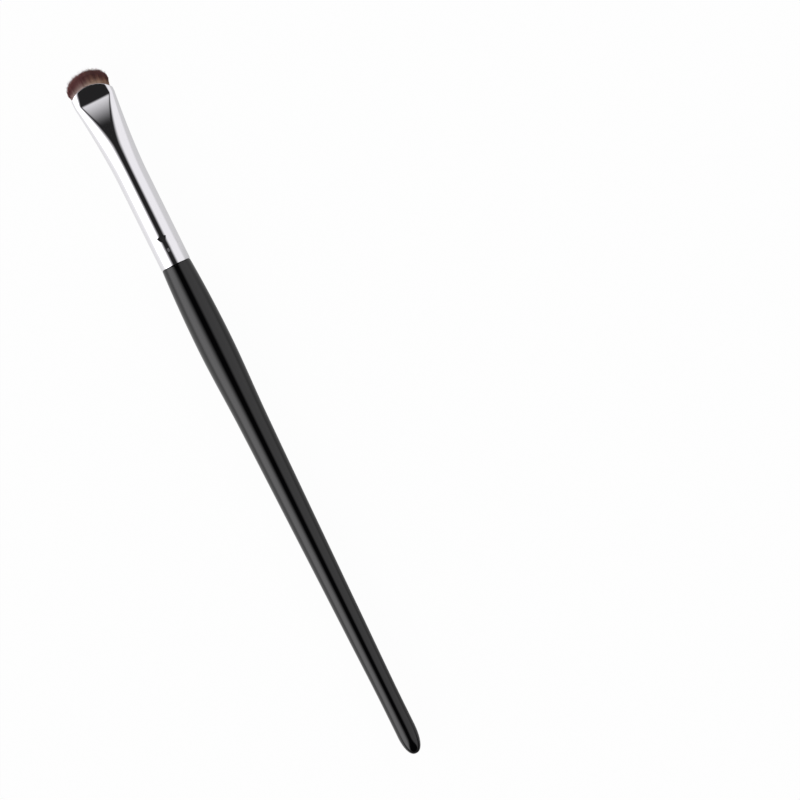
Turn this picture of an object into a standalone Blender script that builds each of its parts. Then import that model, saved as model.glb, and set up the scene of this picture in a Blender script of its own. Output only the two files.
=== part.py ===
"""A flat eye brush: a turned and lacquered wooden handle, a plated tube that is flattened at its mouth,
and a short dense tuft of hair set in resin. Metres, +Z up. The brush lies along X with its hair towards +X,
its wide face level, and its belly resting on Z = 0."""

import math
import random

import bmesh
import bpy
from mathutils import Vector

MM = 0.001

# Clearances between pieces, and what the tools need
FIT_GAP = 0.3 * MM
CUTTER_OVERRUN = 2.0 * MM
MERGE_DISTANCE = 0.01 * MM
SHARP_ANGLE = math.radians(35)

# Ferrule: a drawn tube that is widened and flattened up to a crease, with a flat mouth beyond it. Its length
# is to the foremost point of the mouth's edge, and its stretches are measured back from there. The jaws that
# flattened it and the die that trimmed it stood a little off its middle line, which the flats and arc show.
FERRULE_LENGTH = 44.5 * MM
MOUTH_LENGTH = 3.55 * MM
FLARE_LENGTH = 19.0 * MM
FACET_LENGTH = 11.5 * MM
TUBE_DIAMETER = 7.05 * MM
FERRULE_WALL = 0.3 * MM
CREASE_WIDTH = 9.82 * MM
CREASE_ROUND = 1.5 * MM
CREASE_SHIFT = 0.18 * MM
MOUTH_TAPER = 0.06 * MM
MOUTH_ROUND = 2.3 * MM
MOUTH_SHIFT = 0.7 * MM
MOUTH_THICKNESS = 3.05 * MM
MOUTH_ARC_RADIUS = 6.8 * MM
MOUTH_ARC_SHIFT = 0.4 * MM
WIDENING_POWER = 1.6
FLATTENING_POWER = 2
FACET_POWER = 1.5
SHIFT_POWER = 6
FLARE_SECTIONS = 13
SECTION_CROWDING = 0.75

# Crimp rings rolled into the tube: place of the deepest line from the joint, width and depth. Each one falls
# slowly from the joint's side and rises steeply on the hair's side.
FIRM_CRIMP_PLACE = 7.05 * MM
FIRM_CRIMP_WIDTH = 0.78 * MM
FIRM_CRIMP_DEPTH = 0.12 * MM
LIGHT_CRIMP_PLACE = 4.15 * MM
LIGHT_CRIMP_WIDTH = 1.1 * MM
LIGHT_CRIMP_DEPTH = 0.09 * MM
CRIMP_FALL_SHARE = 0.75
CRIMP_SHARES = (-1.0, -0.5, 0.0, 0.5, 1.0)

# Handle: the diameters that the lathe works to, and how far behind the joint each one lies. The shoulder
# is a step smaller than the tube that meets it.
HANDLE_LENGTH = 121.6 * MM
SHOULDER_STEP = 0.1 * MM
SHOULDER_EDGE = 0.25 * MM
BELLY_DIAMETER = 8.05 * MM
BELLY_PLACE = 19.6 * MM
WAIST_DIAMETER = 6.95 * MM
WAIST_PLACE = 38.5 * MM
MIDDLE_DIAMETER = 5.86 * MM
MIDDLE_PLACE = 70.0 * MM
SLIM_DIAMETER = 5.19 * MM
SLIM_PLACE = 91.0 * MM
TAIL_DIAMETER = 4.67 * MM
TAIL_STRAIGHT = 5.7 * MM
TAIL_ROUND_LENGTH = 5.8 * MM
TAIL_ROUND_SHARES = (0.28, 0.52, 0.72, 0.87, 0.96, 0.99)
TENON_LENGTH = 14.0 * MM
TENON_CHAMFER = 0.6 * MM
OUTLINE_SPAN = 4.7 * MM

# Adhesive round the tenon, with what is pushed ahead of it
GLUE_FILM = 0.35 * MM
GLUE_START = 1.2 * MM
GLUE_CAP = 0.9 * MM

# Resin that holds the hair: the slice that the hair is fused to, set back from the foremost point of the
# mouth's edge, and the plug behind it
SLICE_RECESS = 2.2 * MM
SLICE_THICKNESS = 0.9 * MM
SLICE_END_SHARE = 0.5
PLUG_LENGTH = 8.7 * MM
PLUG_SECTIONS = 6

# Tuft: rows of strands that fan out to a dome
HAIR_SHOWING = 3.4 * MM
DOME_HEIGHT = 3.3 * MM
SIDE_SPREAD = 0.125 * MM
FACE_TUCK = 0.075 * MM
FACE_DROP = 0.6 * MM
LENGTH_SCATTER = 0.22 * MM
SCATTER_SEED = 11
STRAND_COLUMNS = 42
STRAND_ROWS = 10
STRAND_FOOT_SHARE = 0.8
STRAND_TIP_SHARE = 0.8
TIP_STAGGER_SHARE = 0.5

# Facets round each piece
HANDLE_SIDES = 40
FERRULE_SIDES = 48
PLUG_SIDES = 32
CUTTER_SIDES = 96

# Places along the brush that follow, each measured from the joint between the ferrule and the handle
CREASE_PLACE = FERRULE_LENGTH - MOUTH_LENGTH
FLARE_PLACE = CREASE_PLACE - FLARE_LENGTH
FACET_PLACE = CREASE_PLACE - FACET_LENGTH
SLICE_PLACE = FERRULE_LENGTH - SLICE_RECESS
PLUG_PLACE = SLICE_PLACE - SLICE_THICKNESS - FIT_GAP
HAIR_TIP_PLACE = FERRULE_LENGTH + HAIR_SHOWING
HAIR_SIDE_PLACE = HAIR_TIP_PLACE - DOME_HEIGHT
TAIL_ROUND_PLACE = HANDLE_LENGTH - TAIL_ROUND_LENGTH

# The joint's place in the world, which puts the origin under the middle of the brush
JOINT_X = (HANDLE_LENGTH - HAIR_TIP_PLACE) / 2
AXIS_Z = BELLY_DIAMETER / 2

# Widths that follow at the mouth
CREASE_FLAT = CREASE_WIDTH - 2 * CREASE_ROUND
MOUTH_WIDTH = CREASE_WIDTH - 2 * MOUTH_TAPER
MOUTH_FLAT = MOUTH_WIDTH - 2 * MOUTH_ROUND
TUFT_WIDTH = MOUTH_WIDTH + 2 * SIDE_SPREAD
TUFT_THICKNESS = MOUTH_THICKNESS - 2 * FACE_TUCK

# Radii that follow inside the round of the tube, from its bore inwards
SHOULDER_RADIUS = TUBE_DIAMETER / 2 - SHOULDER_STEP
BORE_RADIUS = TUBE_DIAMETER / 2 - FERRULE_WALL
GLUE_RADIUS = BORE_RADIUS - FIT_GAP
GLUE_BORE_RADIUS = GLUE_RADIUS - GLUE_FILM
TENON_RADIUS = GLUE_BORE_RADIUS - FIT_GAP


def mix(start, end, share):
    """The value that lies a share of the way from start to end."""
    return start + (end - start) * share


def principled(name, colour, roughness, metallic=0.0, coat=0.0):
    """A material with one Principled shader."""
    material = bpy.data.materials.new(name)
    material.use_nodes = True
    material.diffuse_color = colour
    shader = material.node_tree.nodes["Principled BSDF"]
    shader.inputs["Base Color"].default_value = colour
    shader.inputs["Roughness"].default_value = roughness
    shader.inputs["Metallic"].default_value = metallic
    shader.inputs["Coat Weight"].default_value = coat
    return material


def mesh_from(name, form):
    """Turn a bmesh into a mesh and free it."""
    mesh = bpy.data.meshes.new(name)
    form.to_mesh(mesh)
    form.free()
    return mesh


def add_object(name, mesh, collection, material=None):
    """Put a mesh in a collection as a named object, with its origin on the brush's axis at the joint."""
    thing = bpy.data.objects.new(name, mesh)
    thing.location = (JOINT_X, 0, AXIS_Z)
    collection.objects.link(thing)
    if material:
        mesh.materials.append(material)
    return thing


def smooth_round(mesh):
    """Shade a round mesh smooth, and keep its creases sharp."""
    mesh.shade_smooth()
    mesh.set_sharp_from_angle(angle=SHARP_ANGLE)


def crimp_reach(width, side):
    """How far a crimp ring goes from its deepest line on the side that has this sign."""
    return width * (CRIMP_FALL_SHARE if side < 0 else 1 - CRIMP_FALL_SHARE)


def crimp_depth(place):
    """How far the crimp rings press the tube in at a place."""
    depth = 0
    for deepest_place, width, deepest in (
        (FIRM_CRIMP_PLACE, FIRM_CRIMP_WIDTH, FIRM_CRIMP_DEPTH),
        (LIGHT_CRIMP_PLACE, LIGHT_CRIMP_WIDTH, LIGHT_CRIMP_DEPTH),
    ):
        beyond = place - deepest_place
        share = abs(beyond) / crimp_reach(width, beyond)
        if share < 1:
            depth += deepest * (1 + math.cos(math.pi * share)) / 2
    return depth


def crimp_places(start, end):
    """The places between two ends that draw the crimp rings, from the joint towards the hair."""
    places = []
    for share in CRIMP_SHARES:
        places.append(LIGHT_CRIMP_PLACE + crimp_reach(LIGHT_CRIMP_WIDTH, share) * share)
        places.append(FIRM_CRIMP_PLACE + crimp_reach(FIRM_CRIMP_WIDTH, share) * share)
    return sorted(place for place in places if start < place < end)


def tube_section(place):
    """The ferrule's outer width and thickness at a place, with the width of its two flats and how far they
    stand to the -Y side of its middle."""
    if place <= FLARE_PLACE:
        across = TUBE_DIAMETER - 2 * crimp_depth(place)
        return across, across, 0, 0
    if place <= CREASE_PLACE:
        share = (place - FLARE_PLACE) / FLARE_LENGTH
        width = mix(TUBE_DIAMETER, CREASE_WIDTH, share**WIDENING_POWER)
        thickness = mix(TUBE_DIAMETER, MOUTH_THICKNESS, share**FLATTENING_POWER)
        facet_share = max(place - FACET_PLACE, 0) / FACET_LENGTH
        flat = CREASE_FLAT * facet_share**FACET_POWER
        return width, thickness, flat, CREASE_SHIFT * facet_share**SHIFT_POWER
    share = (place - CREASE_PLACE) / MOUTH_LENGTH
    width = mix(CREASE_WIDTH, MOUTH_WIDTH, share)
    return width, MOUTH_THICKNESS, mix(CREASE_FLAT, MOUTH_FLAT, share), mix(CREASE_SHIFT, MOUTH_SHIFT, share)


def round_reach(width, flat, shift, side):
    """How far the section's round goes beyond its flats on the side that has this sign."""
    return (width - flat) / 2 + shift * math.copysign(1, side)


def ring_points(place, inset, sides):
    """Points round the tube's section at a place, inset from its outer face. The section is two half
    ellipses with a flat between them, and its flats and sides touch the true width and thickness."""
    width, thickness, flat, shift = tube_section(place)
    outside = 1 / math.cos(math.pi / sides)
    half_depth = (thickness / 2 - inset) * outside
    points = []
    for side in range(sides):
        angle = 2 * math.pi * (side + 0.5) / sides
        turn = math.cos(angle)
        reach = (round_reach(width, flat, shift, turn) - inset) * outside
        across = turn * reach + math.copysign(flat / 2, turn) - shift
        points.append((place, across, math.sin(angle) * half_depth))
    return points


def loft(places, inset, sides, closed):
    """A skin over the tube's sections at some places, open at both ends or closed by flat caps."""
    form = bmesh.new()
    rings = [[form.verts.new(point) for point in ring_points(place, inset, sides)] for place in places]
    for near, far in zip(rings, rings[1:]):
        for side in range(sides):
            after = (side + 1) % sides
            form.faces.new((near[side], far[side], far[after], near[after]))
    if closed:
        form.faces.new(rings[0])
        form.faces.new(reversed(rings[-1]))
    bmesh.ops.recalc_face_normals(form, faces=form.faces)
    return form


def turned(name, outline, sides, collection, material):
    """A turned piece: an outline of (place, radius) pairs, from its end nearest the hair to the other,
    spun about the brush's axis. Its facets touch the true radius, and one of them faces straight down."""
    half_step = math.pi / sides
    form = bmesh.new()
    points = [form.verts.new((radius, radius * math.tan(half_step), place)) for place, radius in outline]
    for above, below in zip(points, points[1:]):
        form.edges.new((above, below))
    thing = add_object(name, mesh_from(name, form), collection, material)
    thing.rotation_euler = (0, math.pi / 2, 0)
    spin = thing.modifiers.new("Turning", "SCREW")
    spin.axis = "Z"
    spin.steps = sides
    spin.render_steps = sides
    spin.use_merge_vertices = True
    spin.merge_threshold = MERGE_DISTANCE
    spin.use_smooth_shade = True
    return thing


def handle_knots():
    """The handle's named diameters, as (distance behind the joint, diameter) pairs."""
    return (
        (0, 2 * SHOULDER_RADIUS),
        (BELLY_PLACE, BELLY_DIAMETER),
        (WAIST_PLACE, WAIST_DIAMETER),
        (MIDDLE_PLACE, MIDDLE_DIAMETER),
        (SLIM_PLACE, SLIM_DIAMETER),
        (TAIL_ROUND_PLACE - TAIL_STRAIGHT, TAIL_DIAMETER),
        (TAIL_ROUND_PLACE, TAIL_DIAMETER),
    )


def knot_slopes(knots):
    """The slope of a smooth curve at each knot: level at the belly and at the last two, steep at the
    first, and between its neighbours' slopes at the others."""
    rises = [(wide - near) / (end - start) for (start, near), (end, wide) in zip(knots, knots[1:])]
    slopes = [rises[0] * 2]
    for before, after in zip(rises, rises[1:]):
        slopes.append(2 * before * after / (before + after) if before * after > 0 else 0)
    slopes.append(0)
    return slopes


def handle_radius(distance):
    """The handle's radius at a distance behind the joint: a smooth curve through the named diameters,
    then half an ellipse that ends at the tail."""
    if distance > TAIL_ROUND_PLACE:
        share = (distance - TAIL_ROUND_PLACE) / TAIL_ROUND_LENGTH
        return TAIL_DIAMETER / 2 * math.sqrt(1 - share**2)
    knots = handle_knots()
    slopes = knot_slopes(knots)
    index = sum(distance > place for place, _ in knots[1:])
    (start, start_width), (end, end_width) = knots[index : index + 2]
    span = end - start
    share = (distance - start) / span
    eased = share * share * (3 - 2 * share)
    lean = (1 - share) * slopes[index] - share * slopes[index + 1]
    return (mix(start_width, end_width, eased) + share * (1 - share) * span * lean) / 2


def build_handle(collection):
    """The handle with its tenon, turned in one piece of wood."""
    wood = principled("black_lacquered_wood", (0.012, 0.012, 0.013, 1), 0.2, coat=1.0)
    tenon_edge = TENON_LENGTH - TENON_CHAMFER
    outline = [(TENON_LENGTH, 0), (TENON_LENGTH, TENON_RADIUS - TENON_CHAMFER), (tenon_edge, TENON_RADIUS)]
    for place in reversed(crimp_places(0, tenon_edge)):
        outline.append((place, TENON_RADIUS - crimp_depth(place)))
    outline.append((-FIT_GAP, TENON_RADIUS))
    outline.append((-FIT_GAP, SHOULDER_RADIUS - SHOULDER_EDGE))
    body_start = FIT_GAP + SHOULDER_EDGE
    spans = round((TAIL_ROUND_PLACE - body_start) / OUTLINE_SPAN)
    distances = [mix(body_start, TAIL_ROUND_PLACE, index / spans) for index in range(spans + 1)]
    distances += [TAIL_ROUND_PLACE + TAIL_ROUND_LENGTH * share for share in TAIL_ROUND_SHARES]
    outline += [(-distance, handle_radius(distance)) for distance in distances]
    outline.append((-HANDLE_LENGTH, 0))
    return turned("handle", outline, HANDLE_SIDES, collection, wood)


def build_tenon_glue(collection):
    """The adhesive round the tenon: a thin cup that follows the crimp rings."""
    glue = principled("tenon_adhesive", (0.72, 0.62, 0.42, 1), 0.5)
    cup_floor = TENON_LENGTH + FIT_GAP
    cup_top = cup_floor + GLUE_CAP
    ringed = crimp_places(GLUE_START, cup_floor)
    outline = [(cup_top, 0), (cup_top, GLUE_RADIUS)]
    outline += [(place, GLUE_RADIUS - crimp_depth(place)) for place in reversed(ringed)]
    outline += [(GLUE_START, GLUE_RADIUS), (GLUE_START, GLUE_BORE_RADIUS)]
    outline += [(place, GLUE_BORE_RADIUS - crimp_depth(place)) for place in ringed]
    outline += [(cup_floor, GLUE_BORE_RADIUS), (cup_floor, 0)]
    return turned("tenon_glue", outline, PLUG_SIDES, collection, glue)


def build_ferrule(collection, cutters):
    """The ferrule: a skin lofted from the round tube to the flattened mouth, given its wall inwards,
    with the mouth trimmed to an arc."""
    chrome = principled("polished_plating", (0.86, 0.86, 0.87, 1), 0.06, metallic=1.0)
    places = [0, *crimp_places(0, FLARE_PLACE)]
    for index in range(FLARE_SECTIONS + 1):
        share = (index / FLARE_SECTIONS) ** SECTION_CROWDING
        places.append(mix(FLARE_PLACE, CREASE_PLACE, share))
    places.append(FERRULE_LENGTH + CUTTER_OVERRUN)
    mesh = mesh_from("ferrule", loft(places, 0, FERRULE_SIDES, closed=False))
    ferrule = add_object("ferrule", mesh, collection, chrome)
    smooth_round(mesh)
    wall = ferrule.modifiers.new("Wall", "SOLIDIFY")
    wall.thickness = FERRULE_WALL
    wall.offset = -1
    wall.use_even_offset = True
    subtract(ferrule, "Mouth arc", build_mouth_cutter(cutters))
    return ferrule


def subtract(thing, label, cutter):
    """Cut one object away from another."""
    cut = thing.modifiers.new(label, "BOOLEAN")
    cut.operation = "DIFFERENCE"
    cut.solver = "EXACT"
    cut.object = cutter
    cutter.hide_render = True
    cutter.display_type = "WIRE"


def build_mouth_cutter(cutters):
    """What the trimming die takes away: a block ahead of the mouth, less a round that leaves the arc."""
    arc_centre = FERRULE_LENGTH - MOUTH_ARC_RADIUS
    block_length = MOUTH_ARC_RADIUS + 2 * CUTTER_OVERRUN
    round_form = bmesh.new()
    bmesh.ops.create_cone(
        round_form,
        cap_ends=True,
        segments=CUTTER_SIDES,
        radius1=MOUTH_ARC_RADIUS,
        radius2=MOUTH_ARC_RADIUS,
        depth=TUBE_DIAMETER + 2 * CUTTER_OVERRUN,
    )
    bmesh.ops.translate(round_form, verts=round_form.verts, vec=(arc_centre, MOUTH_ARC_SHIFT, 0))
    block_form = bmesh.new()
    bmesh.ops.create_cube(block_form, size=1)
    block_size = (block_length, CREASE_WIDTH + 2 * CUTTER_OVERRUN, TUBE_DIAMETER)
    bmesh.ops.scale(block_form, verts=block_form.verts, vec=block_size)
    bmesh.ops.translate(block_form, verts=block_form.verts, vec=(arc_centre + block_length / 2, 0, 0))
    block = add_object("mouth_block", mesh_from("mouth_block", block_form), cutters)
    subtract(block, "Arc", add_object("mouth_round", mesh_from("mouth_round", round_form), cutters))
    return block


def build_root_plug(collection):
    """The cast resin behind the hair, which fills the flattened end of the ferrule."""
    resin = principled("root_resin", (0.55, 0.36, 0.16, 1), 0.35)
    places = [PLUG_PLACE - PLUG_LENGTH * (1 - index / PLUG_SECTIONS) for index in range(PLUG_SECTIONS + 1)]
    mesh = mesh_from("root_plug", loft(places, FERRULE_WALL + FIT_GAP, PLUG_SIDES, closed=True))
    smooth_round(mesh)
    return add_object("root_plug", mesh, collection, resin)


def slice_sizes():
    """Where the resin slice's two ends lie across the tube, and a function that gives its half thickness
    at a distance across."""
    width, thickness, flat, shift = tube_section(SLICE_PLACE)
    inset = FERRULE_WALL + FIT_GAP

    def half_thickness(across):
        reach = round_reach(width, flat, shift, across + shift) - inset
        beyond = max(abs(across + shift) - flat / 2, 0) / reach
        return (thickness / 2 - inset) * math.sqrt(1 - beyond**2)

    ends = []
    for side in (-1, 1):
        reach = (round_reach(width, flat, shift, side) - inset) * math.sqrt(1 - SLICE_END_SHARE**2)
        ends.append(side * (flat / 2 + reach) - shift)
    return ends, half_thickness


def tip_place(across_share, through_share, scatter):
    """Where a strand that starts at these shares of the slice ends: on half an ellipse seen from the wide
    face, lower towards both wide faces. Every other row is shifted, so that its tips fill the gaps."""
    dome = math.sqrt(1 - across_share**2)
    reach = mix(HAIR_SIDE_PLACE, HAIR_TIP_PLACE, dome) - FACE_DROP * through_share**2
    row = math.floor((through_share + 1) / 2 * STRAND_ROWS)
    stagger = (row % 2 - 0.5) * TIP_STAGGER_SHARE * 2 / STRAND_COLUMNS
    across = (across_share + stagger) * TUFT_WIDTH / 2
    through = through_share * TUFT_THICKNESS / 2 * mix(SLICE_END_SHARE, 1, dome)
    return Vector((reach - scatter, across, through))


def shrink_about(verts, centre, share):
    """Move points towards a centre, leaving them a share of their distance from it."""
    for vert in verts:
        vert.co = centre + (vert.co - centre) * share


def grow_strands(form, feet, places):
    """Draw each foot in a little, then pull it out to its own tip. Places are the feet's shares of the
    slice's width and thickness."""
    chance = random.Random(SCATTER_SEED)
    bmesh.ops.inset_individual(form, faces=feet, thickness=0)
    for foot in feet:
        shrink_about(foot.verts, foot.calc_center_median(), STRAND_FOOT_SHARE)
    tips = bmesh.ops.extrude_discrete_faces(form, faces=feet)["faces"]
    for tip, place in zip(tips, places):
        centre = tip.calc_center_median()
        shrink_about(tip.verts, centre, STRAND_TIP_SHARE)
        shift = tip_place(place.x, place.y, chance.uniform(0, LENGTH_SCATTER)) - centre
        bmesh.ops.translate(form, verts=tip.verts, vec=shift)


def build_bristle_tuft(collection):
    """The hair as rows of straight tapered strands, fused to the slice of resin that they grow from."""
    hair = principled("brown_hair", (0.075, 0.031, 0.028, 1), 0.55)
    ends, half_thickness = slice_sizes()
    form = bmesh.new()
    bmesh.ops.create_grid(form, x_segments=STRAND_COLUMNS, y_segments=STRAND_ROWS, size=1)
    feet = list(form.faces)
    places = [foot.calc_center_median() for foot in feet]
    for vert in form.verts:
        across = mix(*ends, (vert.co.x + 1) / 2)
        vert.co = (SLICE_PLACE, across, vert.co.y * half_thickness(across))
    rim = [edge for edge in form.edges if edge.is_boundary]
    skirt = bmesh.ops.extrude_edge_only(form, edges=rim)["geom"]
    skirt_verts = [item for item in skirt if isinstance(item, bmesh.types.BMVert)]
    bmesh.ops.translate(form, verts=skirt_verts, vec=(-SLICE_THICKNESS, 0, 0))
    back = [edge for edge in form.edges if edge.is_boundary]
    bmesh.ops.contextual_create(form, geom=back)
    grow_strands(form, feet, places)
    bmesh.ops.recalc_face_normals(form, faces=form.faces)
    return add_object("bristle_tuft", mesh_from("bristle_tuft", form), collection, hair)


def main():
    """Build the brush from an empty scene."""
    for thing in list(bpy.data.objects):
        bpy.data.objects.remove(thing)
    brush = bpy.data.collections.new("Eye brush")
    cutters = bpy.data.collections.new("Cutters")
    bpy.context.scene.collection.children.link(brush)
    bpy.context.scene.collection.children.link(cutters)
    build_handle(brush)
    build_tenon_glue(brush)
    build_ferrule(brush, cutters)
    build_root_plug(brush)
    build_bristle_tuft(brush)


main()
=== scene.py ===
"""The looks of a flat eye brush: polished plated ferrule, black lacquered handle and a dense brown tuft.

The brush lies along X with its hair towards +X. Places along it are measured from the joint between the
handle and the ferrule, towards the hair, as in the part's own source."""

import math
import random

import bmesh
import bpy
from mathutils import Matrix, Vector, noise


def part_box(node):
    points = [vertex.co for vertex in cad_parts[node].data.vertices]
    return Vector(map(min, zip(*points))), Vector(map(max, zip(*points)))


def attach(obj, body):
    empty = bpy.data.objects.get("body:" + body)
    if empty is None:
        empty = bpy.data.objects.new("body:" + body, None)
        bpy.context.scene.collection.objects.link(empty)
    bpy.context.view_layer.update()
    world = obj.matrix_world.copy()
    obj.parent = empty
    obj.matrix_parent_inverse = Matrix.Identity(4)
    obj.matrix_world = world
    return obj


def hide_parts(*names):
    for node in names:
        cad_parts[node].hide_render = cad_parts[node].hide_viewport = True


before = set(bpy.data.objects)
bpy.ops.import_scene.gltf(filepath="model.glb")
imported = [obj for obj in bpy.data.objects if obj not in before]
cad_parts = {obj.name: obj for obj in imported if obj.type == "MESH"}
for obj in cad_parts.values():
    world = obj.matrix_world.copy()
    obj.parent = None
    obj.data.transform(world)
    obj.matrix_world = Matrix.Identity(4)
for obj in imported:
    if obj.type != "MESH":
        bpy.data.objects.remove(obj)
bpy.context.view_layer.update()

MM = 0.001

# The frame: where the joint and the brush's axis lie, and the reach of each piece
FERRULE_LOW, FERRULE_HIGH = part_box("ferrule")
HANDLE_LOW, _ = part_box("handle")
TUFT_LOW, TUFT_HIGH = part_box("bristle_tuft")
JOINT_X = FERRULE_LOW.x
AXIS_Z = (FERRULE_LOW.z + FERRULE_HIGH.z) / 2
FERRULE_LENGTH = FERRULE_HIGH.x - FERRULE_LOW.x
HANDLE_LENGTH = JOINT_X - HANDLE_LOW.x
HAIR_TIP_PLACE = TUFT_HIGH.x - JOINT_X
BED_PLACE = TUFT_LOW.x - JOINT_X

# The photograph: its scale, its joint pixel, and how far the brush leans from upright in it
PHOTO_PIXELS = 800
PIXEL = 0.2233 * MM
JOINT_PIXEL = (175.9, 264.6)
LEAN = math.radians(26.29)
CAMERA_HEIGHT = 1.5
SENSOR = 36 * MM

# Ferrule: the drawn tube, widened and flattened up to a crease
TUBE_DIAMETER = 7.05 * MM
FERRULE_WALL = 0.3 * MM
MOUTH_LENGTH = 3.55 * MM
FLARE_LENGTH = 19.0 * MM
FACET_LENGTH = 11.5 * MM
CREASE_WIDTH = 9.82 * MM
CREASE_ROUND = 1.5 * MM
CREASE_SHIFT = 0.18 * MM
CREASE_BLEND = 0.12 * MM
MOUTH_TAPER = 0.06 * MM
MOUTH_ROUND = 2.3 * MM
MOUTH_SHIFT = 0.7 * MM
MOUTH_THICKNESS = 3.05 * MM
MOUTH_ARC_RADIUS = 6.8 * MM
MOUTH_ARC_SHIFT = 0.4 * MM
LIP_RADIUS = 0.16 * MM
BACK_LIP_RADIUS = 0.1 * MM
WIDENING_POWER = 1.6
FLATTENING_POWER = 2
FACET_POWER = 1.5
SHIFT_POWER = 6
CREASE_PLACE = FERRULE_LENGTH - MOUTH_LENGTH
FLARE_PLACE = CREASE_PLACE - FLARE_LENGTH
FACET_PLACE = CREASE_PLACE - FACET_LENGTH
CREASE_FLAT = CREASE_WIDTH - 2 * CREASE_ROUND
MOUTH_WIDTH = CREASE_WIDTH - 2 * MOUTH_TAPER
MOUTH_FLAT = MOUTH_WIDTH - 2 * MOUTH_ROUND

# Crimps that hold the tube on the handle: where each one starts, is deepest and ends, and its depth. The firm
# one is a flat pressed in by a wedge, a little to one side, and the light one follows the tube's round.
FIRM_CRIMP = (5.62 * MM, 6.78 * MM, 6.98 * MM, 0.175 * MM)
FIRM_CRIMP_SIDE = 0.2 * MM
LIGHT_CRIMP = (3.08 * MM, 4.0 * MM, 5.5 * MM, 0.157 * MM)

# Handle: its diameters, and where they lie behind the joint. The tail's end is blunt and leans a little.
SHOULDER_DIAMETER = 6.85 * MM
SHOULDER_EDGE = 0.25 * MM
NECK_DIAMETER = 6.2 * MM
NECK_REACH = 2.0 * MM
BELLY_DIAMETER = 8.05 * MM
BELLY_PLACE = 19.6 * MM
WAIST_DIAMETER = 6.95 * MM
WAIST_PLACE = 38.5 * MM
MIDDLE_DIAMETER = 5.86 * MM
MIDDLE_PLACE = 70.0 * MM
SLIM_DIAMETER = 5.19 * MM
SLIM_PLACE = 91.0 * MM
TAIL_DIAMETER = 4.67 * MM
TAIL_STRAIGHT = 5.7 * MM
TAIL_ROUND_LENGTH = 5.8 * MM
TAIL_BLUNT_POWER = 2.3
TAIL_LEAN = 0.17 * MM
TAIL_ROUND_PLACE = HANDLE_LENGTH - TAIL_ROUND_LENGTH

# Tuft
DOME_HEIGHT = 3.3 * MM
TUFT_WIDTH = TUFT_HIGH.y - TUFT_LOW.y
TUFT_THICKNESS = 2.9 * MM
FACE_DROP = 0.6 * MM
LENGTH_DROP = 0.5 * MM
LENGTH_SCATTER = 0.19 * MM
LONGEST_STRAY = 1.0 * MM
HAIR_THICKNESS_SHARE = 0.86
HAIR_TIP_SHARE = 0.7
HAIR_COLUMNS = 104
HAIR_ROWS = 30
HAIR_STEPS = 5
BED_THICKNESS = 0.3 * MM
BED_SHARE = 0.97
TUFT_SIDE_SHARE = 0.5
HAIR_SEED = 5

# Locks of hair that differ from their neighbours: middle and half width across in mm, and how strongly. The
# first are lighter or darker, the second are redder, and the third are less pale at their roots.
TONE_LOCKS = (
    (3.9, 0.6, -0.2),
    (2.1, 0.55, 0.4),
    (1.25, 0.4, -0.2),
    (0.65, 0.22, 0.25),
    (0.2, 0.18, -0.35),
    (-0.5, 0.35, 0.5),
    (-1.1, 0.2, -0.45),
    (-1.65, 0.28, 0.35),
    (-2.4, 0.35, -0.3),
    (-2.95, 0.35, 0.35),
    (-3.7, 0.6, -0.25),
)
RED_LOCKS = ((0.2, 0.12, 0.9), (0.85, 0.15, 0.4), (3.0, 0.9, 0.3))
DARK_ROOT_LOCKS = ((-4.2, 0.8, 0.6), (-1.1, 0.2, 0.5), (1.1, 0.5, 0.35), (4.6, 0.6, 0.25))
MIDDLE_TONE = 0.57
CLUMP = 0.25 * MM
CLUMP_TONE = 0.8
CLUMP_ROOT = 0.5
HAIR_TONE = 0.2

# How finely the round pieces are drawn. The mouth's rings lie at shares of the way from the crease to the
# arc, and a share past 1 marks the lip, which lies beyond it.
FERRULE_SIDES = 216
FACET_CUTS = 15
FERRULE_STEP = 0.45 * MM
CRIMP_STEP = 0.05 * MM
LIP_STEPS = 5
MOUTH_SHARES = (0.05, 0.3, 0.6, 0.9, 1.0)
LIP_SHARE = 2
LEVEL_SLACK = 1e-6
FLAT_EDGE_SHARE = 0.9
HANDLE_SIDES = 128
HANDLE_STEP = 1.2 * MM
TAIL_STEPS = 16
WELD = 0.001 * MM


def mix(start, end, share):
    """The value that lies a share of the way from start to end."""
    return start + (end - start) * share


def linear(hex_colour):
    """An sRGB hex colour as linear RGBA."""
    channels = [int(hex_colour[at : at + 2], 16) / 255 for at in (1, 3, 5)]
    return (*(c / 12.92 if c <= 0.04045 else ((c + 0.055) / 1.055) ** 2.4 for c in channels), 1)


def add_node(tree, kind, inputs=None, **settings):
    """Add a node with its settings. An input is a value, or a socket to link from."""
    node = tree.nodes.new(kind)
    for name, value in settings.items():
        setattr(node, name, value)
    for name, value in (inputs or {}).items():
        if isinstance(value, bpy.types.NodeSocket):
            tree.links.new(value, node.inputs[name])
        else:
            node.inputs[name].default_value = value
    return node


def new_material(name):
    """A material with an empty node tree."""
    material = bpy.data.materials.new(name)
    material.use_nodes = True
    material.node_tree.nodes.clear()
    return material


def mixed_colour(tree, share, first, second):
    """Two colours mixed by a share of the second."""
    inputs = {"Factor": share, "A": first, "B": second}
    return add_node(tree, "ShaderNodeMix", inputs, data_type="RGBA").outputs["Result"]


def share_between(tree, value, start, end, most):
    """A share that is nothing where the value is at the start and the most where it is at the end."""
    inputs = {"Value": value, "From Min": start, "From Max": end, "To Min": 0.0, "To Max": most}
    return add_node(tree, "ShaderNodeMapRange", inputs).outputs["Result"]


def combine(tree, operation, first, second):
    """Two values joined by a math node."""
    return add_node(tree, "ShaderNodeMath", {0: first, 1: second}, operation=operation).outputs["Value"]


def finish_material(tree, surface):
    """Link a shader to the material's output."""
    add_node(tree, "ShaderNodeOutputMaterial", {"Surface": surface})


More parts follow.
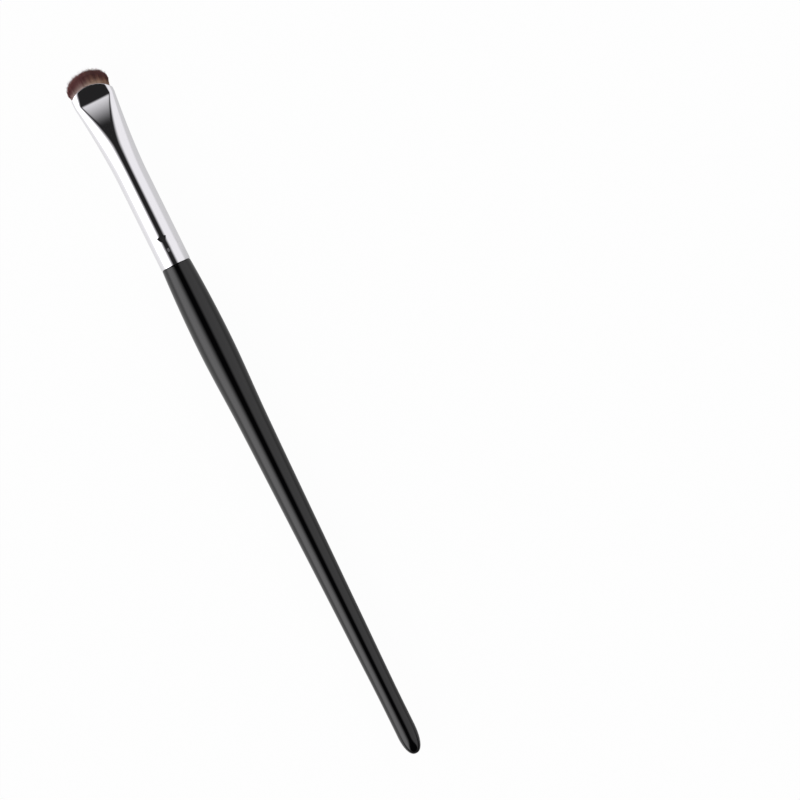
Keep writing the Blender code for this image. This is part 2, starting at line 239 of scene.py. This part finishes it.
def add_piece(name, form, material, slot, *nodes):
    """Make a bmesh a piece that rides with the brush and stands for some nodes."""
    mesh = bpy.data.meshes.new(name)
    bmesh.ops.translate(form, verts=form.verts, vec=(JOINT_X, 0, AXIS_Z))
    form.to_mesh(mesh)
    form.free()
    mesh.shade_smooth()
    mesh.materials.append(material)
    piece = bpy.data.objects.new(name, mesh)
    bpy.context.scene.collection.objects.link(piece)
    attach(piece, "root")
    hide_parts(*nodes)


def plated_metal():
    """Bright nickel and chrome plating on a drawn tube, buffed: a mirror with faint lines along the tube
    and a slight haze where it has been handled."""
    line_width = 0.25 * MM
    line_stretch = 20
    line_height = 0.02 * MM
    haze_width = 6 * MM
    clearest = 0.03
    haziest = 0.075
    material = new_material("polished_nickel_chrome_plate")
    tree = material.node_tree
    coords = add_node(tree, "ShaderNodeTexCoord").outputs["Object"]
    along = add_node(tree, "ShaderNodeMapping", {"Vector": coords, "Scale": (1 / line_stretch, 1, 1)})
    lines = add_node(
        tree, "ShaderNodeTexNoise", {"Vector": along.outputs["Vector"], "Scale": 1 / line_width, "Detail": 3}
    )
    haze = add_node(tree, "ShaderNodeTexNoise", {"Vector": coords, "Scale": 1 / haze_width, "Detail": 2})
    spread = {"Value": haze.outputs["Fac"], "From Min": 0.35, "From Max": 0.7}
    roughness = add_node(tree, "ShaderNodeMapRange", {**spread, "To Min": clearest, "To Max": haziest})
    bump = add_node(
        tree, "ShaderNodeBump", {"Height": lines.outputs["Fac"], "Strength": 0.02, "Distance": line_height}
    )
    shader = add_node(
        tree,
        "ShaderNodeBsdfPrincipled",
        {
            "Base Color": linear("#e6e5e8"),
            "Metallic": 1.0,
            "Roughness": roughness.outputs["Result"],
            "Normal": bump.outputs["Normal"],
        },
    )
    finish_material(tree, shader.outputs["BSDF"])
    return material


def black_lacquer():
    """Black cellulose lacquer, sprayed in several coats on turned beech: deep black under a clear gloss
    that undulates slightly, as sprayed lacquer does."""
    peel_width = 1.6 * MM
    peel_stretch = 4
    peel_height = 0.03 * MM
    film_width = 9 * MM
    glossiest = 0.08
    dullest = 0.12
    material = new_material("sprayed_black_lacquer")
    tree = material.node_tree
    coords = add_node(tree, "ShaderNodeTexCoord").outputs["Object"]
    along = add_node(tree, "ShaderNodeMapping", {"Vector": coords, "Scale": (1 / peel_stretch, 1, 1)})
    peel = add_node(
        tree, "ShaderNodeTexNoise", {"Vector": along.outputs["Vector"], "Scale": 1 / peel_width, "Detail": 1}
    )
    film = add_node(tree, "ShaderNodeTexNoise", {"Vector": coords, "Scale": 1 / film_width, "Detail": 3})
    spread = {"Value": film.outputs["Fac"], "From Min": 0.3, "From Max": 0.7}
    roughness = add_node(tree, "ShaderNodeMapRange", {**spread, "To Min": glossiest, "To Max": dullest})
    colour = mixed_colour(tree, film.outputs["Fac"], linear("#010102"), linear("#030304"))
    bump = add_node(
        tree, "ShaderNodeBump", {"Height": peel.outputs["Fac"], "Strength": 0.12, "Distance": peel_height}
    )
    shader = add_node(
        tree,
        "ShaderNodeBsdfPrincipled",
        {
            "Base Color": colour,
            "Roughness": roughness.outputs["Result"],
            "IOR": 1.5,
            "Normal": bump.outputs["Normal"],
        },
    )
    finish_material(tree, shader.outputs["BSDF"])
    return material


def brown_hair():
    """Dyed natural hair: maroon brown at the cut tips, mauve on one side and browner on the other lower
    down, in lighter, darker and redder locks, and paler towards the mouth of the ferrule."""
    brown_reach = 1.5 * MM
    pale_start_mm = 2.1
    pale_full_mm = 0.15
    pale_power = 1.8
    tip_start_share = 0.55
    tip_full_share = 0.92
    tip_most_share = 0.88
    material = new_material("dyed_brown_hair")
    tree = material.node_tree
    tone = add_node(tree, "ShaderNodeAttribute", attribute_name="tone").outputs["Fac"]
    red = add_node(tree, "ShaderNodeAttribute", attribute_name="red").outputs["Fac"]
    fair = add_node(tree, "ShaderNodeAttribute", attribute_name="fair").outputs["Fac"]
    reach = add_node(tree, "ShaderNodeAttribute", attribute_name="reach").outputs["Fac"]
    bare = add_node(tree, "ShaderNodeAttribute", attribute_name="bare_mm").outputs["Fac"]
    coords = add_node(tree, "ShaderNodeTexCoord").outputs["Object"]
    across = add_node(tree, "ShaderNodeSeparateXYZ", {"Vector": coords}).outputs["Y"]
    browner = share_between(tree, across, brown_reach, -brown_reach, 1.0)
    dark = mixed_colour(tree, browner, linear("#623739"), linear("#61392c"))
    light = mixed_colour(tree, browner, linear("#ab7876"), linear("#b28065"))
    body = mixed_colour(tree, tone, dark, light)
    reddened = mixed_colour(tree, red, body, linear("#74262e"))
    near_mouth = share_between(tree, bare, pale_start_mm, pale_full_mm, 1.0)
    near_mouth = combine(tree, "POWER", near_mouth, pale_power)
    pale_share = combine(tree, "MULTIPLY", near_mouth, fair)
    roots = mixed_colour(tree, browner, linear("#cbb5ac"), linear("#c9a992"))
    rooted = mixed_colour(tree, pale_share, reddened, roots)
    tips = mixed_colour(tree, browner, linear("#744442"), linear("#61383a"))
    near_tip = share_between(tree, reach, tip_start_share, tip_full_share, tip_most_share)
    colour = mixed_colour(tree, near_tip, rooted, tips)
    shader = add_node(
        tree,
        "ShaderNodeBsdfPrincipled",
        {"Base Color": colour, "Roughness": 0.5, "IOR": 1.55, "Specular IOR Level": 0.25},
    )
    finish_material(tree, shader.outputs["BSDF"])
    return material


def cast_resin(name, clear, cloudy, roughness):
    """Cast or squeezed-out resin: cloudy in patches, with a soft gloss."""
    cloud_width = 1.5 * MM
    cloud_height = 0.05 * MM
    material = new_material(name)
    tree = material.node_tree
    coords = add_node(tree, "ShaderNodeTexCoord").outputs["Object"]
    clouds = add_node(tree, "ShaderNodeTexNoise", {"Vector": coords, "Scale": 1 / cloud_width, "Detail": 4})
    colour = mixed_colour(tree, clouds.outputs["Fac"], linear(clear), linear(cloudy))
    bump = add_node(
        tree, "ShaderNodeBump", {"Height": clouds.outputs["Fac"], "Strength": 0.3, "Distance": cloud_height}
    )
    shader = add_node(
        tree,
        "ShaderNodeBsdfPrincipled",
        {
            "Base Color": colour,
            "Roughness": roughness,
            "IOR": 1.52,
            "Normal": bump.outputs["Normal"],
        },
    )
    finish_material(tree, shader.outputs["BSDF"])
    return material


def crimp_depth(crimp, place):
    """How far a crimp presses the tube in at a place: evenly down to its deepest line and up again."""
    start, deepest_place, end, depth = crimp
    if place < deepest_place:
        return depth * max(place - start, 0) / (deepest_place - start)
    return depth * max(end - place, 0) / (end - deepest_place)


def pressed_height(place, across, height, radius):
    """The height of a point of the round tube, once the crimps are pressed in from above and below."""
    left = abs(height) * (1 - crimp_depth(LIGHT_CRIMP, place) / radius)
    wedge = crimp_depth(FIRM_CRIMP, place)
    if wedge:
        crown = math.sqrt(radius**2 - FIRM_CRIMP_SIDE**2)
        left = min(left, crown - wedge - (across - FIRM_CRIMP_SIDE) * FIRM_CRIMP_SIDE / crown)
    return math.copysign(left, height)


def tube_section(place):
    """The ferrule's outer width and thickness at a place, with the width of its two flats and how far they
    stand to the -Y side of its middle."""
    if place <= FLARE_PLACE:
        return TUBE_DIAMETER, TUBE_DIAMETER, 0, 0
    if place <= CREASE_PLACE:
        share = (place - FLARE_PLACE) / FLARE_LENGTH
        width = mix(TUBE_DIAMETER, CREASE_WIDTH, share**WIDENING_POWER)
        thickness = mix(TUBE_DIAMETER, MOUTH_THICKNESS, share**FLATTENING_POWER)
        facet_share = max(place - FACET_PLACE, 0) / FACET_LENGTH
        flat = CREASE_FLAT * facet_share**FACET_POWER
        return width, thickness, flat, CREASE_SHIFT * facet_share**SHIFT_POWER
    share = (place - CREASE_PLACE) / MOUTH_LENGTH
    width = mix(CREASE_WIDTH, MOUTH_WIDTH, share)
    return width, MOUTH_THICKNESS, mix(CREASE_FLAT, MOUTH_FLAT, share), mix(CREASE_SHIFT, MOUTH_SHIFT, share)


def round_reach(width, flat, shift, side):
    """How far the section's round goes beyond its flats on the side that has this sign."""
    return (width - flat) / 2 + shift * math.copysign(1, side)


def mouth_place(across):
    """Where the mouth's edge lies at a distance across from the middle: on an arc."""
    rise = math.sqrt(MOUTH_ARC_RADIUS**2 - (across - MOUTH_ARC_SHIFT) ** 2)
    return FERRULE_LENGTH - MOUTH_ARC_RADIUS + rise


def steps_between(start, end, step):
    """Even places from start up to but not including end, about a step apart."""
    count = max(round((end - start) / step), 1)
    return [mix(start, end, index / count) for index in range(count)]


def wall_path():
    """The way round the tube's wall as (place, inset, mouth share) steps: up the outside, round the lip,
    down the inside and round the back edge. The mouth share draws a ring from the crease to the arc."""
    outer = []
    reached = BACK_LIP_RADIUS
    for start, deepest_place, end, _ in (LIGHT_CRIMP, FIRM_CRIMP):
        outer += steps_between(reached, start, FERRULE_STEP)
        outer += steps_between(start, deepest_place, CRIMP_STEP)
        outer += steps_between(deepest_place, end, CRIMP_STEP)
        reached = end
    outer += steps_between(reached, CREASE_PLACE - CREASE_BLEND, FERRULE_STEP)
    outer.append(CREASE_PLACE - CREASE_BLEND)
    path = []
    for step in range(LIP_STEPS):
        angle = math.pi / 2 * step / LIP_STEPS
        path.append((BACK_LIP_RADIUS * (1 - math.sin(angle)), BACK_LIP_RADIUS * (1 - math.cos(angle)), 0))
    path = path[::-1] + [(place, 0, 0) for place in outer[1:]]
    path += [(CREASE_PLACE, 0, share) for share in MOUTH_SHARES]
    for step in range(1, LIP_STEPS + 1):
        angle = math.pi / 2 * step / LIP_STEPS
        path.append((LIP_RADIUS * math.sin(angle), LIP_RADIUS * (1 - math.cos(angle)), LIP_SHARE))
    path += [(CREASE_PLACE, FERRULE_WALL, share) for share in reversed(MOUTH_SHARES)]
    path += [(place, FERRULE_WALL, 0) for place in reversed(outer)]
    return path


def seat_ring(ring_verts, layers, place, inset, mouth_share):
    """Move a ring of the loft to its place. Each point keeps its place on the unit circle in two layers."""
    half_step = math.sin(math.pi / FERRULE_SIDES)
    section_place = CREASE_PLACE if mouth_share else place
    for vert in ring_verts:
        unit_across = vert[layers[0]]
        unit_up = vert[layers[1]]
        along = section_place
        for _ in range(2 if mouth_share else 1):
            width, thickness, flat, shift = tube_section(along)
            reach = round_reach(width, flat, shift, unit_across) - inset
            across = unit_across * reach + max(min(unit_across / half_step, 1), -1) * flat / 2 - shift
            if mouth_share:
                lip = mouth_place(across) - LIP_RADIUS
                along = mix(CREASE_PLACE, lip, min(mouth_share, 1)) + (place if mouth_share > 1 else 0)
        height = unit_up * (thickness / 2 - inset)
        if place < FLARE_PLACE and not mouth_share:
            height = pressed_height(place, across, height, TUBE_DIAMETER / 2 - inset)
        vert.co = (along, across, height)


def build_ferrule(metal):
    """The plated tube, lofted in one skin round its wall."""
    form = bmesh.new()
    layers = (form.verts.layers.float.new("across"), form.verts.layers.float.new("up"))
    bmesh.ops.create_circle(form, segments=FERRULE_SIDES, radius=1)
    for vert in form.verts:
        angle = math.atan2(vert.co.y, vert.co.x) + math.pi / FERRULE_SIDES
        vert.co = (math.cos(angle), math.sin(angle), 0)
    level = [edge for edge in form.edges if abs(edge.verts[0].co.y - edge.verts[1].co.y) < LEVEL_SLACK]
    level = [edge for edge in level if abs(edge.verts[0].co.y) > FLAT_EDGE_SHARE]
    bmesh.ops.subdivide_edges(form, edges=level, cuts=FACET_CUTS)
    for vert in form.verts:
        vert[layers[0]] = vert.co.x
        vert[layers[1]] = vert.co.y
    first = ring = list(form.edges)
    path = wall_path()
    seat_ring(form.verts, layers, *path[0])
    for place, inset, mouth_share in path[1:]:
        made = bmesh.ops.extrude_edge_only(form, edges=ring)["geom"]
        ring_verts = {item for item in made if isinstance(item, bmesh.types.BMVert)}
        ring = [item for item in made if isinstance(item, bmesh.types.BMEdge)]
        ring = [edge for edge in ring if set(edge.verts) <= ring_verts]
        seat_ring(ring_verts, layers, place, inset, mouth_share)
    bmesh.ops.bridge_loops(form, edges=first + ring)
    bmesh.ops.recalc_face_normals(form, faces=form.faces)
    add_piece("ferrule_shell", form, metal, "plating", "ferrule")


def handle_knots():
    """The handle's named diameters, as (distance behind the joint, diameter) pairs."""
    return (
        (0, SHOULDER_DIAMETER),
        (BELLY_PLACE, BELLY_DIAMETER),
        (WAIST_PLACE, WAIST_DIAMETER),
        (MIDDLE_PLACE, MIDDLE_DIAMETER),
        (SLIM_PLACE, SLIM_DIAMETER),
        (TAIL_ROUND_PLACE - TAIL_STRAIGHT, TAIL_DIAMETER),
        (TAIL_ROUND_PLACE, TAIL_DIAMETER),
    )


def handle_radius(distance):
    """The handle's radius at a distance behind the joint: a smooth curve through the named diameters."""
    knots = handle_knots()
    rises = [(wide - near) / (end - start) for (start, near), (end, wide) in zip(knots, knots[1:])]
    slopes = [rises[0] * 2]
    for before, after in zip(rises, rises[1:]):
        slopes.append(2 * before * after / (before + after) if before * after > 0 else 0)
    slopes.append(0)
    index = sum(distance > place for place, _ in knots[1:-1])
    (start, start_width), (end, end_width) = knots[index : index + 2]
    span = end - start
    share = (distance - start) / span
    eased = share * share * (3 - 2 * share)
    lean = (1 - share) * slopes[index] - share * slopes[index + 1]
    return (mix(start_width, end_width, eased) + share * (1 - share) * span * lean) / 2


def build_handle(lacquer):
    """The turned handle: a profile spun round the brush's axis, with a neck that enters the ferrule."""
    outline = [(NECK_REACH, 0), (NECK_REACH, NECK_DIAMETER / 2), (0, NECK_DIAMETER / 2)]
    for step in range(LIP_STEPS + 1):
        angle = math.pi / 2 * step / LIP_STEPS
        outline.append(
            (
                -SHOULDER_EDGE * (1 - math.cos(angle)),
                SHOULDER_DIAMETER / 2 - SHOULDER_EDGE * (1 - math.sin(angle)),
            )
        )
    distances = steps_between(SHOULDER_EDGE, TAIL_ROUND_PLACE, HANDLE_STEP)[1:]
    outline += [(-distance, handle_radius(distance)) for distance in distances]
    for step in range(TAIL_STEPS + 1):
        angle = math.pi / 2 * step / TAIL_STEPS
        distance = TAIL_ROUND_PLACE + TAIL_ROUND_LENGTH * math.sin(angle) ** (2 / TAIL_BLUNT_POWER)
        outline.append((-distance, TAIL_DIAMETER / 2 * math.cos(angle) ** (2 / TAIL_BLUNT_POWER)))
    form = bmesh.new()
    points = [form.verts.new((place, 0, radius)) for place, radius in outline]
    edges = [form.edges.new(pair) for pair in zip(points, points[1:])]
    bmesh.ops.spin(
        form,
        geom=points + edges,
        cent=(0, 0, 0),
        axis=(1, 0, 0),
        angle=2 * math.pi,
        steps=HANDLE_SIDES,
        use_merge=True,
    )
    bmesh.ops.remove_doubles(form, verts=form.verts, dist=WELD)
    for vert in form.verts:
        share = max(-vert.co.x - TAIL_ROUND_PLACE, 0) / TAIL_ROUND_LENGTH
        vert.co.y += TAIL_LEAN * share
    bmesh.ops.recalc_face_normals(form, faces=form.faces)
    add_piece("handle_body", form, lacquer, "lacquered_wood", "handle")


def hair_path(foot, across_share, through_share, drop, share):
    """A hair's place at a share of its length: straight out of the bed, then fanning to the dome."""
    dome = math.sqrt(max(1 - across_share**2, 0))
    reach = HAIR_TIP_PLACE - DOME_HEIGHT * (1 - dome) - FACE_DROP * through_share**2 - drop
    across = across_share * TUFT_WIDTH / 2
    through = through_share * TUFT_THICKNESS / 2 * mix(TUFT_SIDE_SHARE, 1, dome)
    fan = share**2
    return Vector((mix(foot.x, reach, share), mix(foot.y, across, fan), mix(foot.z, through, fan)))


def lock_strength(locks, across):
    """How strongly some locks of hair show at a distance across. Each fades away from its middle."""
    return sum(
        strength * math.exp(-(((across / MM - middle) / half_width) ** 2))
        for middle, half_width, strength in locks
    )


def build_tuft(hair):
    """The hair: a bed of small feet, each drawn out in steps to its own tip."""
    chance = random.Random(HAIR_SEED)
    width, thickness, flat, shift = tube_section(BED_PLACE)
    half_width = width / 2 - FERRULE_WALL
    half_depth = thickness / 2 - FERRULE_WALL
    form = bmesh.new()
    tone = form.verts.layers.float.new("tone")
    red = form.verts.layers.float.new("red")
    fair = form.verts.layers.float.new("fair")
    reach = form.verts.layers.float.new("reach")
    bare = form.verts.layers.float.new("bare_mm")
    bmesh.ops.create_grid(form, x_segments=HAIR_COLUMNS, y_segments=HAIR_ROWS, size=1)
    feet = list(form.faces)
    shares = [foot.calc_center_median() for foot in feet]
    for vert in form.verts:
        across = vert.co.x * half_width * BED_SHARE
        room = round_reach(width, flat, shift, across + shift) - FERRULE_WALL
        beyond = max(abs(across + shift) - flat / 2, 0) / room
        through = vert.co.y * half_depth * math.sqrt(1 - beyond**2)
        vert.co = (BED_PLACE + BED_THICKNESS, across, through)
    bmesh.ops.inset_individual(form, faces=feet, thickness=0)
    starts = []
    hairs = []
    for foot, share in zip(feet, shares):
        centre = foot.calc_center_median()
        starts.append(centre)
        wander = Vector((chance.uniform(-1, 1) / HAIR_COLUMNS, chance.uniform(-1, 1) / HAIR_ROWS))
        across_share = max(min(share.x + wander.x, 1), -1)
        through_share = max(min(share.y + wander.y, 1), -1)
        drop = LENGTH_DROP - min(chance.expovariate(1 / LENGTH_SCATTER), LONGEST_STRAY)
        hairs.append((across_share, through_share, drop))
        side = across_share * TUFT_WIDTH / 2
        clump = noise.noise(Vector((centre.y / CLUMP, centre.z / CLUMP, 0)))
        shade = MIDDLE_TONE + lock_strength(TONE_LOCKS, side) + CLUMP_TONE * clump
        shade += chance.uniform(-HAIR_TONE, HAIR_TONE)
        root_paleness = min(1 - lock_strength(DARK_ROOT_LOCKS, side) + CLUMP_ROOT * clump, 1)
        for vert in foot.verts:
            vert.co = centre + (vert.co - centre) * HAIR_THICKNESS_SHARE
            vert[tone] = min(max(shade, 0), 1)
            vert[red] = lock_strength(RED_LOCKS, side)
            vert[fair] = root_paleness
    for step in range(1, HAIR_STEPS + 1):
        share = step / HAIR_STEPS
        feet = bmesh.ops.extrude_discrete_faces(form, faces=feet)["faces"]
        for foot, start, (across_share, through_share, drop) in zip(feet, starts, hairs):
            centre = foot.calc_center_median()
            place = hair_path(start, across_share, through_share, drop, share)
            shrink = mix(1, HAIR_TIP_SHARE, share) / mix(1, HAIR_TIP_SHARE, share - 1 / HAIR_STEPS)
            for vert in foot.verts:
                vert.co = place + (vert.co - centre) * shrink
                vert[reach] = share
                vert[bare] = (place.x - mouth_place(place.y)) / MM
    bmesh.ops.recalc_face_normals(form, faces=form.faces)
    add_piece("hair_tuft", form, hair, "hair", "bristle_tuft")


def coat_node(name, material):
    """Give a solid that is carried over as it is its one material."""
    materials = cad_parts[name].data.materials
    materials.clear()
    materials.append(material)


def build_floor():
    """A plain pale floor. The camera sees it nearly white, with the brush's shadow. In mirror reflections it
    carries painted light that grows brighter away from the brush on its left, and painted shadow right of the
    handle and past the tail."""
    floor_size = 6.0
    seen_share = 0.97
    mirrored_share = 0.85
    shaded_level = 0.78
    handle_shade = 0.25
    lit_rise = 0.39
    lit_reach = 0.05
    lit_power = 0.4
    shade_start = JOINT_X + 5 * MM
    shade_full = JOINT_X - 10 * MM
    shade_blend = 2 * MM
    tail_shade = 0.85
    tail_reach = 6 * MM
    material = new_material("white_card_floor")
    tree = material.node_tree
    path = add_node(tree, "ShaderNodeLightPath")
    seen = combine(tree, "MULTIPLY", path.outputs["Is Camera Ray"], seen_share)
    mirrored = combine(tree, "MULTIPLY", path.outputs["Is Glossy Ray"], mirrored_share)
    share = combine(tree, "MAXIMUM", seen, mirrored)
    paper = add_node(tree, "ShaderNodeBsdfDiffuse", {"Color": linear("#f2f2f2")})
    coords = add_node(tree, "ShaderNodeTexCoord").outputs["Object"]
    axes = add_node(tree, "ShaderNodeSeparateXYZ", {"Vector": coords}).outputs
    # Painted light on the floor's left and painted shadow beside the handle and past the tail, seen only in
    # mirror reflections
    lit = combine(tree, "POWER", share_between(tree, axes["Y"], 0.0, lit_reach, 1.0), lit_power)
    beyond_joint = share_between(tree, axes["X"], shade_start, shade_full, handle_shade)
    beside = share_between(tree, axes["Y"], shade_blend, -shade_blend, 1.0)
    shade = combine(tree, "MULTIPLY", beyond_joint, beside)
    level = combine(tree, "SUBTRACT", combine(tree, "MULTIPLY", lit, lit_rise), shade)
    level = combine(tree, "ADD", level, shaded_level)
    past_tail = share_between(tree, axes["X"], HANDLE_LOW.x, HANDLE_LOW.x - tail_reach, tail_shade)
    level = combine(tree, "MULTIPLY", level, combine(tree, "SUBTRACT", 1.0, past_tail))
    gloss = combine(tree, "MULTIPLY", path.outputs["Is Glossy Ray"], combine(tree, "SUBTRACT", level, 1.0))
    strength = combine(tree, "ADD", gloss, 1.0)
    white = add_node(tree, "ShaderNodeEmission", {"Color": linear("#ffffff"), "Strength": strength})
    mixed = add_node(
        tree,
        "ShaderNodeMixShader",
        {0: share, 1: paper.outputs["BSDF"], 2: white.outputs["Emission"]},
    )
    finish_material(tree, mixed.outputs["Shader"])
    form = bmesh.new()
    bmesh.ops.create_grid(form, x_segments=1, y_segments=1, size=floor_size / 2)
    mesh = bpy.data.meshes.new("floor")
    form.to_mesh(mesh)
    form.free()
    mesh.materials.append(material)
    floor = bpy.data.objects.new("floor", mesh)
    bpy.context.scene.collection.objects.link(floor)


def ramp(tree, angle, start, full, level):
    """A light card's edge: nothing at one angle in degrees, its full level at another."""
    return add_node(
        tree,
        "ShaderNodeMapRange",
        {
            "Value": angle,
            "From Min": math.radians(start),
            "From Max": math.radians(full),
            "To Min": 0.0,
            "To Max": level,
        },
        interpolation_type="SMOOTHSTEP",
    ).outputs["Result"]


def build_world():
    """A light tent round the brush: a bright wall on its left, a plainer one on its right, a dark slot
    overhead for the camera, and a smaller card past the hair. The slot opens wider towards both ends of the
    brush. The camera itself sees white. Each edge is two angles in degrees and the level that it reaches."""
    left_wall = (11.5, 51, 2.78)
    left_fade = (68, 100, 0.6)
    right_wall = (10, 32, 1.03)
    right_fade = (72, 92, 0.26)
    head_card = (19.2, 30, 1.1)
    head_card_end = (31, 27.5, 1.0)
    head_card_left = (12, 6, 1.0)
    head_card_right = (11, 5, 1.0)
    head_gap = (20, 27, math.radians(20))
    tail_gap = (14, 58, math.radians(84))
    right_head_share = 0.47
    right_tail_share = 0.75
    slot_level = 0.02
    world = bpy.data.worlds.new("light_tent")
    bpy.context.scene.world = world
    world.use_nodes = True
    tree = world.node_tree
    tree.nodes.clear()
    coords = add_node(tree, "ShaderNodeTexCoord").outputs["Generated"]
    axes = add_node(tree, "ShaderNodeSeparateXYZ", {"Vector": coords}).outputs
    left_angle = combine(tree, "ARCTAN2", axes["Y"], axes["Z"])
    right_angle = combine(tree, "MULTIPLY", left_angle, -1.0)
    head_angle = combine(tree, "ARCTAN2", axes["X"], axes["Z"])
    headward = combine(tree, "ARCSINE", axes["X"], 0.0)
    tailward = combine(tree, "MULTIPLY", headward, -1.0)
    head_opening = ramp(tree, headward, *head_gap)
    tail_opening = ramp(tree, tailward, *tail_gap)
    left_opening = combine(tree, "ADD", head_opening, tail_opening)
    right_head_opening = combine(tree, "MULTIPLY", head_opening, right_head_share)
    right_tail_opening = combine(tree, "MULTIPLY", tail_opening, right_tail_share)
    right_opening = combine(tree, "ADD", right_head_opening, right_tail_opening)
    left = ramp(tree, combine(tree, "SUBTRACT", left_angle, left_opening), *left_wall)
    right = ramp(tree, combine(tree, "SUBTRACT", right_angle, right_opening), *right_wall)
    left_kept = combine(tree, "SUBTRACT", 1.0, ramp(tree, left_angle, *left_fade))
    right_kept = combine(tree, "SUBTRACT", 1.0, ramp(tree, right_angle, *right_fade))
    left = combine(tree, "MULTIPLY", left, left_kept)
    right = combine(tree, "MULTIPLY", right, right_kept)
    head = ramp(tree, head_angle, *head_card)
    head_end = ramp(tree, head_angle, *head_card_end)
    inside_left = ramp(tree, left_angle, *head_card_left)
    inside_right = ramp(tree, right_angle, *head_card_right)
    inside = combine(tree, "MULTIPLY", inside_left, inside_right)
    card = combine(tree, "MULTIPLY", combine(tree, "MULTIPLY", head, head_end), inside)
    walls = combine(tree, "ADD", left, right)
    level = combine(tree, "ADD", combine(tree, "ADD", walls, card), slot_level)
    tent = add_node(tree, "ShaderNodeBackground", {"Color": linear("#fefdff"), "Strength": level})
    white = add_node(tree, "ShaderNodeBackground", {"Color": linear("#ffffff"), "Strength": 1.0})
    path = add_node(tree, "ShaderNodeLightPath")
    seen = add_node(
        tree,
        "ShaderNodeMixShader",
        {0: path.outputs["Is Camera Ray"], 1: tent.outputs["Background"], 2: white.outputs["Background"]},
    )
    add_node(tree, "ShaderNodeOutputWorld", {"Surface": seen.outputs["Shader"]})


def build_camera():
    """A long lens straight above, turned so that the brush leans as it does in the photograph."""
    middle = PHOTO_PIXELS / 2
    right_pixels = middle - JOINT_PIXEL[0]
    down_pixels = middle - JOINT_PIXEL[1]
    behind = (math.sin(LEAN) * right_pixels + math.cos(LEAN) * down_pixels) * PIXEL
    beside = (math.cos(LEAN) * right_pixels - math.sin(LEAN) * down_pixels) * PIXEL
    lens = bpy.data.cameras.new("camera")
    lens.sensor_width = SENSOR / MM
    lens.lens = SENSOR / MM * CAMERA_HEIGHT / (PHOTO_PIXELS * PIXEL)
    camera = bpy.data.objects.new("camera", lens)
    camera.location = (JOINT_X - behind, -beside, AXIS_Z + CAMERA_HEIGHT)
    camera.rotation_euler = (0, 0, -(math.pi / 2 + LEAN))
    bpy.context.scene.collection.objects.link(camera)
    bpy.context.scene.camera = camera


def main():
    """Dress the brush and set the stage."""
    build_handle(black_lacquer())
    build_ferrule(plated_metal())
    build_tuft(brown_hair())
    coat_node("root_plug", cast_resin("cast_epoxy_resin", "#b98a4a", "#d9b47c", 0.3))
    coat_node("tenon_glue", cast_resin("wood_adhesive", "#cdb98a", "#e6dab6", 0.5))
    build_floor()
    build_world()
    build_camera()
    bpy.context.scene.view_settings.view_transform = "Standard"


main()
